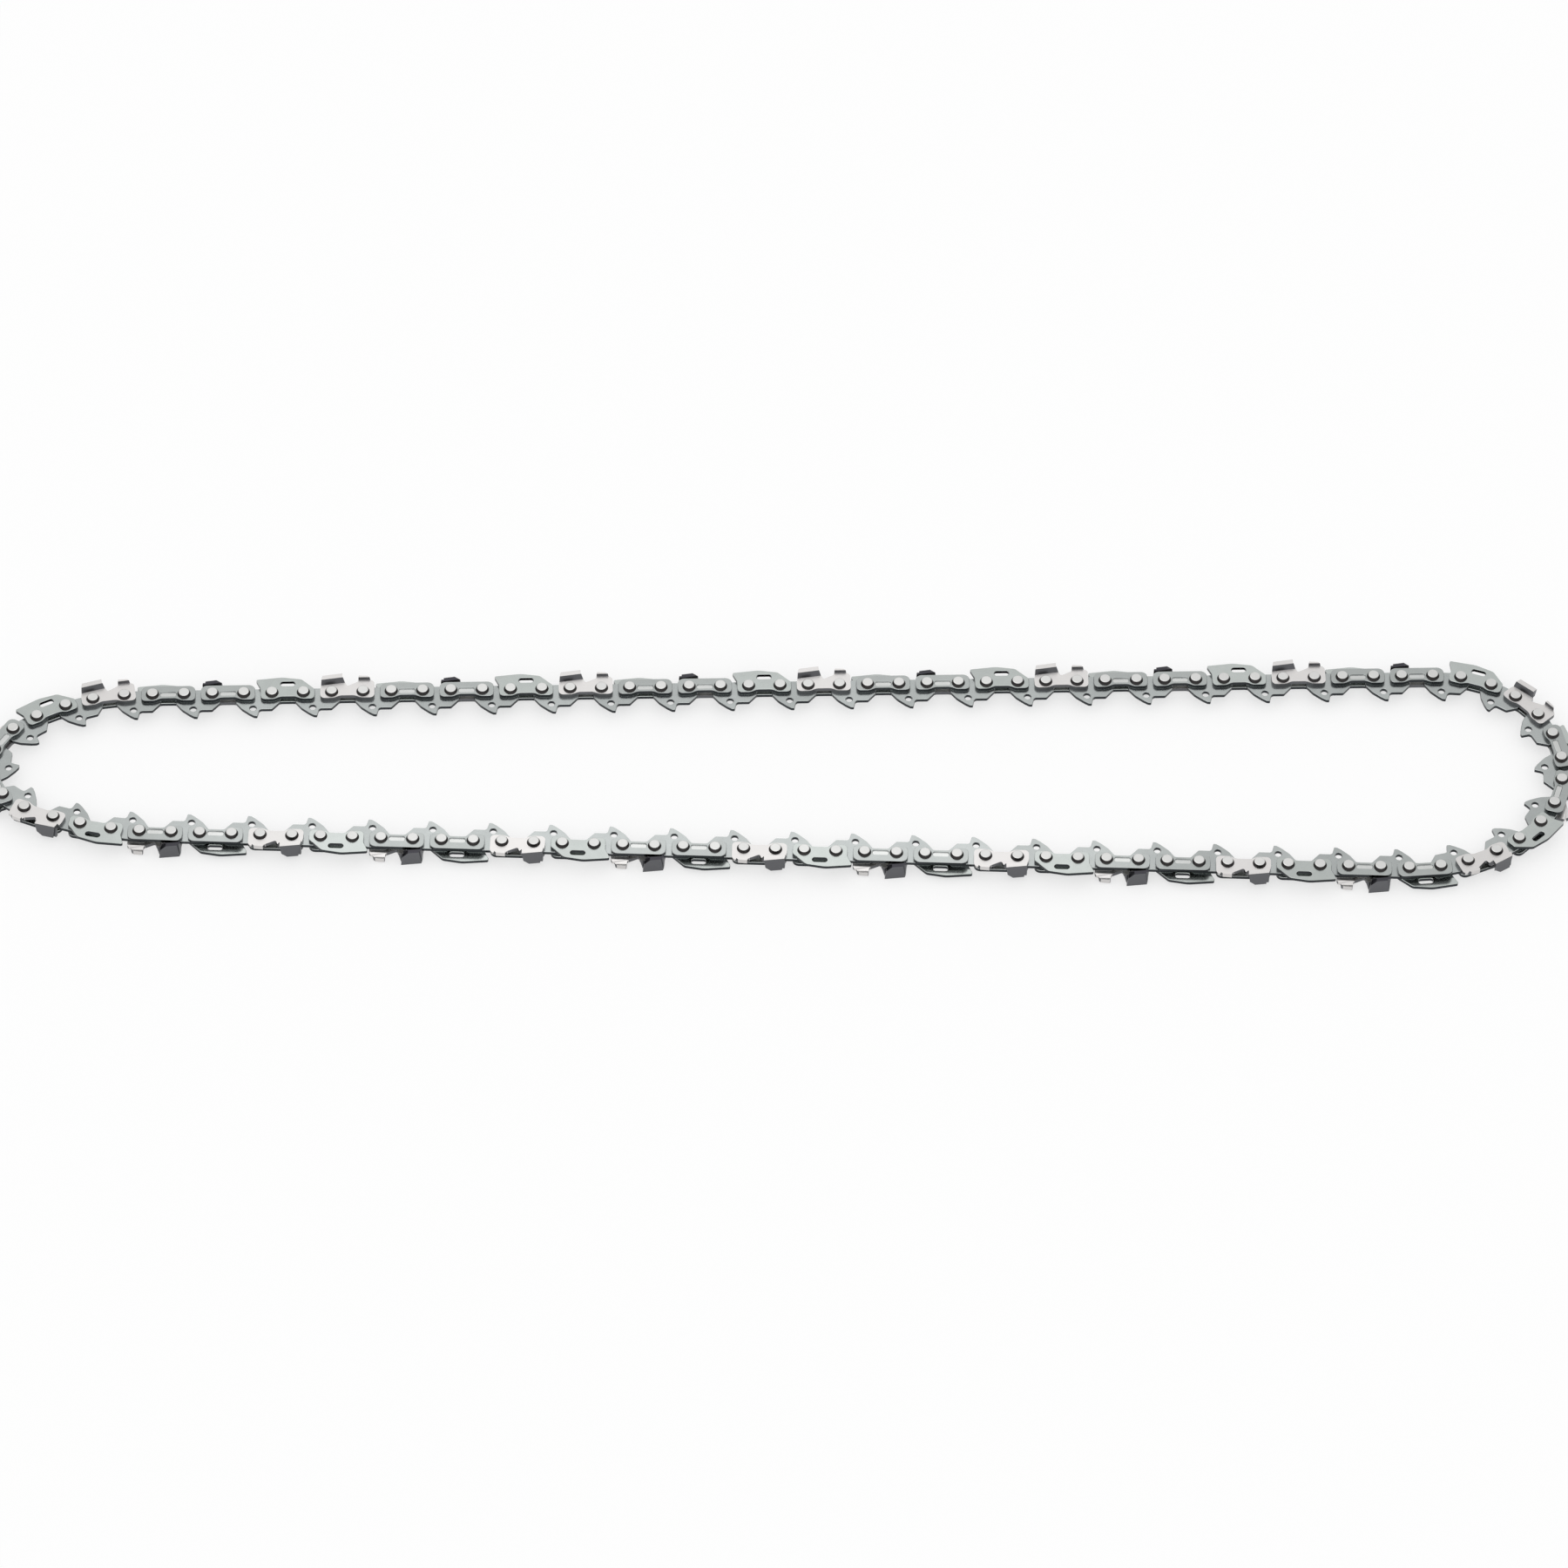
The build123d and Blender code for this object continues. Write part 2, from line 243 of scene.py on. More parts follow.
class ChainSizes(bpy.types.PropertyGroup):
    """Sizes of the links and rivets within the frame's outlines"""

    edge: length("Worn Edge", "Width of the worn edge round each stamping", 0.1 * MM)
    end_corner: length("End Corner", "Radius of the corners at an outer link's feet", 1.4 * MM)
    strap_corner: length("Strap Corner", "Radius of a tie strap's outer corners", 2.0 * MM)
    foot: length("Foot", "Length of the flat foot under each rivet of a strap", 4.2 * MM)
    arch: length("Arch", "Depth of the hollow between a strap's feet", 0.95 * MM)
    groove_width: length("Groove Width", "Width of a tie strap's groove", 1.8 * MM)
    groove_depth: length("Groove Depth", "Depth of a tie strap's groove", 0.38 * MM)
    slot_length: length("Slot Length", "Length of the slot in a bumper strap", 4.7 * MM)
    slot_width: length("Slot Width", "Width of the slot in a bumper strap", 1.9 * MM)
    slot_roof: length("Slot Roof", "Metal between the slot and the bumper's crest", 1.7 * MM)
    oil_hole: length("Oil Hole", "Radius of the oil hole in a drive link", 1.12 * MM)
    rivet_foot: length("Rivet Foot", "Radius of a rivet head where it meets the strap", 2.12 * MM)
    rivet_top: length("Rivet Top", "Radius of a rivet head below its worn edge", 1.62 * MM)
    rivet_neck: length("Rivet Neck", "Radius of the rivet inside the straps", 1.45 * MM)
    rivet_drum: length("Rivet Drum", "Radius of the rivet inside the drive link", 1.55 * MM)
    bore_play: length("Bore Play", "Play between a rivet and its straps", 0.05 * MM)
    drive_play: length("Drive Link Play", "Play between a rivet and its drive link", 0.3 * MM)
    plate: length("Top Plate", "Thickness of the cutter's top plate", 1.35 * MM)
    tooth_front: length("Tooth Front", "From the rear rivet to the cutting corner", 3.4 * MM)
    tooth_throat: length("Tooth Throat", "How far the gullet runs out below the tooth", 0.95 * MM)
    tooth_fall: length("Tooth Fall", "Drop from the cutting corner to the heel", 0.9 * MM)
    tooth_heel: length("Tooth Heel", "From the rear rivet back to the tooth's heel", 2.9 * MM)
    filing_setback: length("Filing Setback", "How far back the plate's inner end lies", 0.7 * MM)
    plate_chamfer: length("Plate Chamfer", "Cut at the plate's inner front corner", 1.5 * MM)
    plate_taper: length("Plate Taper", "How far forward the heel's inner end lies", 0.7 * MM)
    gullet_floor: length("Gullet Floor", "Height of the gullet's floor over the rivets", 2.2 * MM)
    gauge_setting: length("Gauge Setting", "Drop from the cutting corner to the gauge", 0.4 * MM)
    shoulder: length("Shoulder", "Height of the shoulder in front of the gauge", 4.5 * MM)


class ChainColours(bpy.types.PropertyGroup):
    """Finishes of the links and rivets, and the shade and highlight painted on them"""

    tie_face: colour("Tie Strap Face", "Tumbled face of the tie straps", (0.385, 0.405, 0.398))
    bumper_face: colour("Bumper Face", "Tumbled face of the bumper straps", (0.452, 0.48, 0.466))
    drive_face: colour("Drive Link Face", "Tumbled face of the drive links", (0.40, 0.422, 0.417))
    # Painted highlight: the floor of a tie strap's groove is painted lighter than the strap's face.
    groove_floor: colour("Groove Floor Highlight", "Painted highlight on the floor of a tie strap's groove", (0.58, 0.59, 0.58))
    # Painted shade: every face of a link that stands upright is painted this dark colour, in place
    # of the shade it would have.
    edge_shade: colour("Painted Edge Shade", "Painted shade on the punched edges of a stamping", (0.036, 0.04, 0.044))
    cutter_face: colour("Cutter Face", "Plated face of the cutters", (0.65, 0.635, 0.625))
    # Painted shade: the cutters' upright faces, their flank and top plate, are painted dark.
    cutter_edge_shade: colour("Cutter Edge Shade", "Painted shade on the flank and top plate of the cutters", (0.13, 0.132, 0.14))
    cutter_inside: colour("Cutter Inside", "Inner side, dark from tempering", (0.055, 0.054, 0.062))
    rivet_top: colour("Rivet Top", "Bright top of the rivets", (0.62, 0.62, 0.61))
    # Painted shade: the sides of the rivet heads are painted dark.
    rivet_side_shade: colour("Rivet Side Shade", "Painted shade on the side of the rivet heads", (0.045, 0.042, 0.042))


class StageSettings(bpy.types.PropertyGroup):
    """Floor, light and camera"""

    floor: colour("Floor", "Colour of the floor", (0.97, 0.97, 0.97))
    floor_half: length("Floor Half", "Half of the floor's side", 3.0)
    paper_glow: bpy.props.FloatProperty(
        name="Paper Glow",
        description="How far the floor seen is lifted towards white",
        default=0.6,
        min=0,
        max=1,
    )
    soft_box_power: bpy.props.FloatProperty(
        name="Soft Box Power",
        description="Power of the soft box overhead",
        default=0.45,
        min=0,
        unit="POWER",
    )
    soft_box_size: lengths("Soft Box Size", "Sides of the soft box", (0.36, 0.7))
    soft_box_place: lengths("Soft Box Place", "Where the soft box hangs", (-0.045, -0.106, 0.3))
    sky: bpy.props.FloatProperty(
        name="Sky", description="Strength of the even light from all round", default=1, min=0
    )
    elevation: angle("Elevation", "Height of the camera above the floor plane", 50.65)
    yaw: angle("Yaw", "Turn of the camera about the vertical", 1.006)
    roll: angle("Roll", "Turn of the camera about its view", 1.173)
    distance: length("Distance", "From the camera to the point that it looks at", 2.5)
    lens: bpy.props.FloatProperty(
        name="Lens", description="Focal length", default=184.9, subtype="DISTANCE_CAMERA"
    )
    target: lengths(
        "Target", "Point of the middle plane that the camera looks at", (1.89 * MM, -5.8 * MM)
    )


def filleted(corners, steps=5):
    """A closed outline through corners given by x, y and radius, each corner turned by an arc."""
    outline = []
    for number, (x, y, radius) in enumerate(corners):
        corner = Vector((x, y))
        before = (Vector(corners[number - 1][:2]) - corner).normalized()
        after = (Vector(corners[(number + 1) % len(corners)][:2]) - corner).normalized()
        half = before.angle(after) / 2
        centre = corner + (before + after).normalized() * (radius / math.sin(half))
        first = corner + before * (radius / math.tan(half)) - centre
        last = corner + after * (radius / math.tan(half)) - centre
        turn = -first.angle_signed(last) / steps
        outline += [centre + Matrix.Rotation(turn * step, 2) @ first for step in range(steps + 1)]
    return outline


def circle(x, y, radius, steps=20):
    turns = [2 * math.pi * step / steps for step in range(steps)]
    return [Vector((x + radius * math.cos(turn), y + radius * math.sin(turn))) for turn in turns]


def mesh_of(bm, name):
    mesh = bpy.data.meshes.new(name)
    bm.to_mesh(mesh)
    bm.free()
    return mesh


def pulled(bm, faces, along):
    """Draws faces out into a solid."""
    raised = bmesh.ops.extrude_face_region(bm, geom=faces, use_keep_orig=True)["geom"]
    corners = [part for part in raised if isinstance(part, bmesh.types.BMVert)]
    bmesh.ops.translate(bm, verts=corners, vec=along)
    bmesh.ops.recalc_face_normals(bm, faces=bm.faces)


def stamping(name, outline, holes, low, high):
    """A flat plate from an outline and its holes, from one height to another."""
    bm = bmesh.new()
    edges = []
    for ring in [outline, *holes]:
        corners = [bm.verts.new((point.x, point.y, low)) for point in ring]
        edges += [bm.edges.new(pair) for pair in zip(corners, corners[1:] + corners[:1])]
    bmesh.ops.triangle_fill(bm, use_beauty=True, use_dissolve=True, edges=edges)
    pulled(bm, bm.faces[:], Vector((0, 0, high - low)))
    return mesh_of(bm, name)


def prism(name, corners, along):
    """A solid from a flat face of corners, drawn out in any direction."""
    bm = bmesh.new()
    pulled(bm, [bm.faces.new([bm.verts.new(corner) for corner in corners])], along)
    return mesh_of(bm, name)


def drawn_out(name, section, rear, front, slope=0.0, level=0.0):
    """A section, given by its outward and sideways reach, drawn out along the link.
    With a slope, what lies above the rivets rises towards the front, and is true at the level."""
    bm = bmesh.new()
    rings = []
    for x in (rear, front):
        rise = slope * (x - level)
        corners = [(x, out + rise if out > 0 else out, side) for out, side in section]
        rings.append([bm.verts.new(corner) for corner in corners])
    for number in range(len(section)):
        before = number - 1
        bm.faces.new((rings[0][before], rings[0][number], rings[1][number], rings[1][before]))
    bm.faces.new(rings[0])
    bm.faces.new(rings[1])
    bmesh.ops.recalc_face_normals(bm, faces=bm.faces)
    return mesh_of(bm, name)


def evaluated_mesh(holder):
    graph = bpy.context.evaluated_depsgraph_get()
    return bpy.data.meshes.new_from_object(
        holder.evaluated_get(graph), preserve_all_data_layers=True, depsgraph=graph
    )


def in_scene(name, data):
    holder = bpy.data.objects.new(name, data)
    bpy.context.scene.collection.objects.link(holder)
    return holder


def carved(base, tool, operation):
    """One mesh from two, by a boolean."""
    holder = in_scene(base.name, base)
    cutting = in_scene(tool.name, tool)
    modifier = holder.modifiers.new("Carve", "BOOLEAN")
    modifier.solver = "EXACT"
    modifier.operation = operation
    modifier.object = cutting
    mesh = evaluated_mesh(holder)
    bpy.data.objects.remove(holder)
    bpy.data.objects.remove(cutting)
    return mesh


def worn(mesh, edge, level=math.radians(1), sharp=math.radians(50), smooth=math.radians(30)):
    """Wears the sharp edges of a template, and smooths its round stretches."""
    bm = bmesh.new()
    bm.from_mesh(mesh)
    bmesh.ops.remove_doubles(bm, verts=bm.verts, dist=MERGE)
    bmesh.ops.dissolve_limit(bm, angle_limit=level, verts=bm.verts, edges=bm.edges)
    corners = [part for part in bm.edges if part.is_manifold and part.calc_face_angle() > sharp]
    bmesh.ops.bevel(bm, geom=corners, offset=edge, segments=1, affect="EDGES", clamp_overlap=True)
    for face in bm.faces:
        face.smooth = True
    finished = mesh_of(bm, mesh.name)
    finished.set_sharp_from_angle(angle=smooth)
    return finished


def marked(mesh, chosen, name="marked"):
    """Marks the chosen faces of a template, which get a colour of their own."""
    marks = mesh.attributes.new(name, "FLOAT", "FACE")
    marks.data.foreach_set("value", [1.0 if chosen(face) else 0.0 for face in mesh.polygons])
    return mesh


def mirrored(mesh):
    """The same template for the lower side of the chain."""
    bm = bmesh.new()
    bm.from_mesh(mesh)
    for vertex in bm.verts:
        vertex.co.z = -vertex.co.z
    bmesh.ops.reverse_faces(bm, faces=bm.faces)
    return mesh_of(bm, f"{mesh.name} lower")


# Corners of outlines are given by x, y and the radius that rounds them.


def inner_edge(sizes, rear, front, inward):
    """The feet of an outer link and the hollow between them, front to rear."""
    bend = 3.2 * MM
    spread = 2 * sizes.arch
    first = rear + sizes.foot
    last = front - sizes.foot
    return [
        (front, inward, sizes.end_corner),
        (last, inward, bend),
        (last - spread, inward + sizes.arch, bend),
        (first + spread, inward + sizes.arch, bend),
        (first, inward, bend),
        (rear, inward, sizes.end_corner),
    ]


def strap_holes(sizes):
    radius = sizes.rivet_neck + sizes.bore_play
    return [circle(0, 0, radius), circle(SPACING, 0, radius)]


def long_hole(rear, front, low, high, corner):
    ends = [(rear, low, corner), (front, low, corner), (front, high, corner), (rear, high, corner)]
    return filleted(ends)


def tie_strap(sizes):
    outline = inner_edge(sizes, TIE_LOW.x, TIE_HIGH.x, TIE_LOW.y) + [
        (TIE_LOW.x, TIE_HIGH.y, sizes.strap_corner),
        (TIE_HIGH.x, TIE_HIGH.y, sizes.strap_corner),
    ]
    strap = stamping("tie strap", filleted(outline), strap_holes(sizes), STRAP_INNER, STRAP_OUTER)
    end = sizes.rivet_foot * 1.1
    half = sizes.groove_width / 2
    corner = half * 0.9
    groove = long_hole(end, SPACING - end, -half, half, corner)
    groove_floor = STRAP_OUTER - sizes.groove_depth
    cut = stamping("groove", groove, [], groove_floor, STRAP_OUTER + sizes.groove_depth)
    strap = worn(carved(strap, cut, "DIFFERENCE"), sizes.edge)
    # The groove's floor is marked for its painted highlight, a lighter colour.
    return marked(strap, lambda face: abs(face.center.z - groove_floor) < LEVEL)


def bumper_strap(sizes):
    middle = SPACING / 2
    crest = BUMPER_HIGH.y
    crest_rear = middle - 1.7 * MM
    brow = crest - 0.9 * MM
    brow_front = SPACING - 0.6 * MM
    tail = 1.9 * MM
    nose = 1.3 * MM
    outline = inner_edge(sizes, TIE_LOW.x, BUMPER_HIGH.x, BUMPER_LOW.y) + [
        (TIE_LOW.x, tail, 1.2 * MM),
        (BUMPER_LOW.x, brow, 0.5 * MM),
        (crest_rear, crest, 9.0 * MM),
        (brow_front, brow, 2.0 * MM),
        (BUMPER_HIGH.x, nose, 0.8 * MM),
    ]
    half = sizes.slot_length / 2
    high = crest - sizes.slot_roof
    low = high - sizes.slot_width
    corner = sizes.slot_width / 2 * 0.95
    holes = [long_hole(middle - half, middle + half, low, high, corner), *strap_holes(sizes)]
    strap = stamping("bumper strap", filleted(outline), holes, STRAP_INNER, STRAP_OUTER)
    return worn(strap, sizes.edge)


def drive_link(sizes):
    """A drive link: two round ends, and the tang with its hooked tip and its oil hole."""
    deepest = DRIVE_LOW.y
    heel = -5.5 * MM
    tip = 4.4 * MM
    hook_root = tip + 0.5 * MM
    hook_end = tip - 0.15 * MM
    toe = tip - 1.1 * MM
    toe_rise = 0.1 * MM
    step = 2.5 * MM
    belly_rise = 1.0 * MM
    back_rise = 3.1 * MM
    outline = [
        (DRIVE_HIGH.x, DRIVE_HIGH.y, 1.6 * MM),
        (DRIVE_HIGH.x, TIE_LOW.y, 1.0 * MM),
        (DRIVE_SPACING, heel, 0.6 * MM),
        (hook_root, heel, 1.0 * MM),
        (hook_end, deepest, 0.3 * MM),
        (toe, deepest + toe_rise, 0.8 * MM),
        (tip - step, deepest + belly_rise, 3.0 * MM),
        (tip - 2 * step, deepest + back_rise, 4.0 * MM),
        (DRIVE_LOW.x, TIE_LOW.y, 2.0 * MM),
        (DRIVE_LOW.x, DRIVE_HIGH.y, 1.6 * MM),
    ]
    oil_x = tip - 1.5 * MM
    oil_y = deepest + 3.25 * MM
    bore = sizes.rivet_drum + sizes.drive_play
    holes = [
        circle(oil_x, oil_y, sizes.oil_hole),
        circle(0, 0, bore),
        circle(DRIVE_SPACING, 0, bore),
    ]
    link = stamping("drive link", filleted(outline), holes, -HALF_GAUGE, HALF_GAUGE)
    return worn(link, sizes.edge)


# A cutter's wall bends out between the heights JOGGLE and LAND, and its tooth ends at THROAT.
# At GULLET along the link the tooth's section gives way to the depth gauge's.
# The cuts across the top plate run on to PAST_END, beyond its inner end.
JOGGLE = 3.5 * MM
LAND = 4.35 * MM
THROAT = LAND + 0.2 * MM
GULLET = 5.6 * MM
PAST_END = CUTTER_LOW.z - MM


def tooth_section(sizes):
    """The section of the tooth: the wall, its joggle, the flank and the top plate."""
    side, top, past, inward = CUTTER_HIGH.z, CUTTER_HIGH.y, CUTTER_LOW.z, CUTTER_LOW.y
    underside = top - sizes.plate
    wall = STRAP_OUTER - STRAP_INNER
    inner_joggle = JOGGLE + 0.5 * MM
    return [
        (inward, STRAP_OUTER),
        (JOGGLE, STRAP_OUTER),
        (LAND, side),
        (top, side),
        (top, past),
        (underside, past),
        (underside, side - wall),
        (inner_joggle, STRAP_INNER),
        (inward, STRAP_INNER),
    ]


def gauge_section(sizes):
    """The section of the depth gauge: the wall, set over to its side above the shoulder."""
    top, inward = CUTTER_HIGH.y, CUTTER_LOW.y
    outer = STRAP_OUTER + 1.1 * MM
    inner = STRAP_INNER + 0.8 * MM
    bend = sizes.shoulder + 0.3 * MM
    bend_foot = sizes.shoulder + 0.1 * MM
    inner_foot = bend - 1.1 * MM
    return [
        (inward, STRAP_OUTER),
        (bend_foot, STRAP_OUTER),
        (bend, outer),
        (top, outer),
        (top, inner),
        (bend, inner),
        (inner_foot, STRAP_INNER),
        (inward, STRAP_INNER),
    ]


def cutter_outline(sizes):
    """A cutter seen from its side: the tail, the tooth, the gullet, the gauge and the shoulder."""
    top = CUTTER_HIGH.y
    tail = MM
    throat_front = sizes.tooth_front + sizes.tooth_throat
    throat_foot = JOGGLE - 0.1 * MM
    gullet_foot = GULLET - 0.8 * MM
    gullet_end = SPACING - 1.6 * MM
    gullet_top = sizes.shoulder - 0.6 * MM
    gauge_top = top - sizes.gauge_setting
    gauge_rear = SPACING - 1.3 * MM
    gauge_front = SPACING + 1.5 * MM
    gauge_foot = SPACING + 2.4 * MM
    fall = 0.2 * MM
    corners = inner_edge(sizes, TIE_LOW.x, CUTTER_HIGH.x, CUTTER_LOW.y) + [
        (TIE_LOW.x, tail, tail),
        (-sizes.tooth_heel, top - sizes.tooth_fall, 0.3 * MM),
        (sizes.tooth_front, top, 0.02 * MM),
        (sizes.tooth_front, THROAT, 0.4 * MM),
        (throat_front, throat_foot, 0.4 * MM),
        (gullet_foot, sizes.gullet_floor, 0.5 * MM),
        (gullet_end, gullet_top, 0.8 * MM),
        (gauge_rear, gauge_top, 0.2 * MM),
        (gauge_front, gauge_top - fall, 0.6 * MM),
        (gauge_foot, sizes.shoulder, 0.2 * MM),
        (CUTTER_HIGH.x, sizes.shoulder - fall, 1.3 * MM),
    ]
    return filleted(corners)


def run_on(slant):
    """A slant across the top plate, carried on past its end as far as the cuts run."""
    return slant * (CUTTER_HIGH.z - PAST_END) / (CUTTER_HIGH.z - CUTTER_LOW.z)


def cutter(sizes):
    """A right-hand cutter: a wall with a joggle above the rivets, and on it the depth gauge
    and the tooth, which is folded over the chain behind its filed edge."""
    side, top, past = CUTTER_HIGH.z, CUTTER_HIGH.y, CUTTER_LOW.z
    front, heel, notch = sizes.tooth_front, sizes.tooth_heel, sizes.plate_chamfer
    slope = sizes.tooth_fall / (front + heel)
    folded = carved(
        drawn_out("cutter", tooth_section(sizes), CUTTER_LOW.x - MM, GULLET, slope, front),
        drawn_out("depth gauge", gauge_section(sizes), GULLET, CUTTER_HIGH.x + MM),
        "UNION",
    )
    blank = stamping("blank", cutter_outline(sizes), strap_holes(sizes), PAST_END, side + MM)
    shaped = carved(folded, blank, "INTERSECT")
    # The filing starts above the plate, by a fifth of its depth.
    fall = Vector((0, THROAT - top, 0))
    lift = fall * -0.2
    filing = [
        lift + Vector((front, top, side)),
        lift + Vector((GULLET, top, side)),
        lift + Vector((GULLET, top, PAST_END)),
        lift + Vector((front - run_on(sizes.filing_setback), top, PAST_END)),
    ]
    filed = carved(shaped, prism("filing", filing, fall - lift), "DIFFERENCE")
    below = top - sizes.plate - 0.1 * MM
    above = Vector((0, 2 * sizes.plate, 0))
    inner_front = front - sizes.filing_setback - notch
    chamfer = [
        Vector((inner_front + 2 * notch, below, past + 2 * notch)),
        Vector((inner_front + 2 * notch, below, PAST_END)),
        Vector((inner_front - MM, below, PAST_END)),
    ]
    cornered = carved(filed, prism("chamfer", chamfer, above), "DIFFERENCE")
    relief = [
        Vector((-heel, below, side)),
        Vector((run_on(sizes.plate_taper) - heel, below, PAST_END)),
        Vector((-heel - MM, below, PAST_END)),
        Vector((-heel - MM, below, side)),
    ]
    relieved = worn(carved(cornered, prism("relief", relief, above), "DIFFERENCE"), sizes.edge)
    inside = marked(relieved, lambda face: face.normal.z < -0.3 and face.center.z < 0)
    gauge = SPACING - 2 * MM
    return marked(inside, lambda face: face.normal.y > 0.8 and face.center.x > gauge, "ground")


def add_node(tree, kind, **settings):
    node = tree.nodes.new(kind)
    for name, value in settings.items():
        setattr(node, name, value)
    return node


def add_socket(tree, name, kind, default=None, output=False):
    socket = tree.interface.new_socket(
        name, in_out="OUTPUT" if output else "INPUT", socket_type=f"NodeSocket{kind}"
    )
    if default is not None:
        socket.default_value = default


def finish_tree(tree, geometry, inputs):
    """Ends a tree: real geometry with its finish on it."""
    add_socket(tree, "Geometry", "Geometry", output=True)
    realize = add_node(tree, "GeometryNodeRealizeInstances")
    finish = add_node(tree, "GeometryNodeSetMaterial")
    out = add_node(tree, "NodeGroupOutput")
    tree.links.new(geometry, realize.inputs["Geometry"])
    tree.links.new(realize.outputs["Geometry"], finish.inputs["Geometry"])
    tree.links.new(inputs.outputs["Finish"], finish.inputs["Material"])
    tree.links.new(finish.outputs["Geometry"], out.inputs["Geometry"])


def toned(tree, instances, inputs):
    """Gives each link a tone of its own, so that no two are quite alike."""
    tone = add_node(tree, "FunctionNodeRandomValue", data_type="FLOAT")
    store = add_node(tree, "GeometryNodeStoreNamedAttribute", data_type="FLOAT", domain="INSTANCE")
    store.inputs["Name"].default_value = "tone"
    tree.links.new(inputs.outputs["Seed"], tone.inputs["Seed"])
    tree.links.new(instances, store.inputs["Geometry"])
    value = [socket for socket in tone.outputs if socket.enabled][0]
    tree.links.new(value, store.inputs["Value"])
    return store.outputs["Geometry"]


def link_tree():
    """Sets links down on the points of their rear rivets, turned to their headings."""
    tree = bpy.data.node_groups.new("Links On Their Rivets", "GeometryNodeTree")
    add_socket(tree, "Geometry", "Geometry")
    add_socket(tree, "Upper Link", "Object")
    add_socket(tree, "Lower Link", "Object")
    add_socket(tree, "Finish", "Material")
    add_socket(tree, "Seed", "Int", 7)
    inputs = add_node(tree, "NodeGroupInput")
    heading = add_node(tree, "GeometryNodeInputNamedAttribute", data_type="FLOAT")
    heading.inputs["Name"].default_value = "heading"
    upper = add_node(tree, "GeometryNodeInputNamedAttribute", data_type="BOOLEAN")
    upper.inputs["Name"].default_value = "upper"
    lower = add_node(tree, "FunctionNodeBooleanMath", operation="NOT")
    turn = add_node(tree, "ShaderNodeCombineXYZ")
    join = add_node(tree, "GeometryNodeJoinGeometry")
    tree.links.new(heading.outputs["Attribute"], turn.inputs["Z"])
    tree.links.new(upper.outputs["Attribute"], lower.inputs[0])
    sides = {"Upper Link": upper.outputs["Attribute"], "Lower Link": lower.outputs[0]}
    for name, chosen in sides.items():
        shape = add_node(tree, "GeometryNodeObjectInfo")
        lay = add_node(tree, "GeometryNodeInstanceOnPoints")
        tree.links.new(inputs.outputs[name], shape.inputs["Object"])
        tree.links.new(inputs.outputs["Geometry"], lay.inputs["Points"])
        tree.links.new(chosen, lay.inputs["Selection"])
        tree.links.new(shape.outputs["Geometry"], lay.inputs["Instance"])
        tree.links.new(turn.outputs["Vector"], lay.inputs["Rotation"])
        tree.links.new(lay.outputs["Instances"], join.inputs["Geometry"])
    finish_tree(tree, toned(tree, join.outputs["Geometry"], inputs), inputs)
    return tree


def rivet_tree():
    """Makes a rivet, two heads and the body between them, and sets it down on every point."""
    tree = bpy.data.node_groups.new("Rivets", "GeometryNodeTree")
    add_socket(tree, "Geometry", "Geometry")
    for name in ("Foot Radius", "Top Radius", "Neck Radius", "Drum Radius"):
        add_socket(tree, name, "Float", 2 * MM)
    for name in ("Head Height", "Worn Edge", "Head Level", "Neck Height", "Drum Height"):
        add_socket(tree, name, "Float", MM)
    add_socket(tree, "Finish", "Material")
    add_socket(tree, "Seed", "Int", 3)
    inputs = add_node(tree, "NodeGroupInput")
    flats = 18
    crown_share = 0.86
    head = add_node(tree, "GeometryNodeMeshCone")
    head.inputs["Vertices"].default_value = flats
    tree.links.new(inputs.outputs["Foot Radius"], head.inputs["Radius Bottom"])
    tree.links.new(inputs.outputs["Top Radius"], head.inputs["Radius Top"])
    tree.links.new(inputs.outputs["Head Height"], head.inputs["Depth"])
    crown = add_node(tree, "GeometryNodeExtrudeMesh", mode="FACES")
    crown.inputs["Individual"].default_value = False
    tree.links.new(head.outputs["Mesh"], crown.inputs["Mesh"])
    tree.links.new(head.outputs["Top"], crown.inputs["Selection"])
    tree.links.new(inputs.outputs["Worn Edge"], crown.inputs["Offset Scale"])
    narrow = add_node(tree, "GeometryNodeScaleElements", domain="FACE")
    narrow.inputs["Scale"].default_value = crown_share
    tree.links.new(crown.outputs["Mesh"], narrow.inputs["Geometry"])
    tree.links.new(crown.outputs["Top"], narrow.inputs["Selection"])
    up = add_node(tree, "ShaderNodeCombineXYZ")
    tree.links.new(inputs.outputs["Head Level"], up.inputs["Z"])
    upper = add_node(tree, "GeometryNodeTransform")
    tree.links.new(narrow.outputs["Geometry"], upper.inputs["Geometry"])
    tree.links.new(up.outputs["Vector"], upper.inputs["Translation"])
    lower = add_node(tree, "GeometryNodeTransform")
    lower.inputs["Rotation"].default_value = (math.pi, 0, 0)
    tree.links.new(upper.outputs["Geometry"], lower.inputs["Geometry"])
    join = add_node(tree, "GeometryNodeJoinGeometry")
    for side in (upper, lower):
        tree.links.new(side.outputs["Geometry"], join.inputs["Geometry"])
    for shank in ("Drum", "Neck"):
        body = add_node(tree, "GeometryNodeMeshCylinder")
        body.inputs["Vertices"].default_value = flats
        tree.links.new(inputs.outputs[f"{shank} Radius"], body.inputs["Radius"])
        tree.links.new(inputs.outputs[f"{shank} Height"], body.inputs["Depth"])
        tree.links.new(body.outputs["Mesh"], join.inputs["Geometry"])
    lay = add_node(tree, "GeometryNodeInstanceOnPoints")
    tree.links.new(inputs.outputs["Geometry"], lay.inputs["Points"])
    tree.links.new(join.outputs["Geometry"], lay.inputs["Instance"])
    finish_tree(tree, toned(tree, lay.outputs["Instances"], inputs), inputs)
    return tree


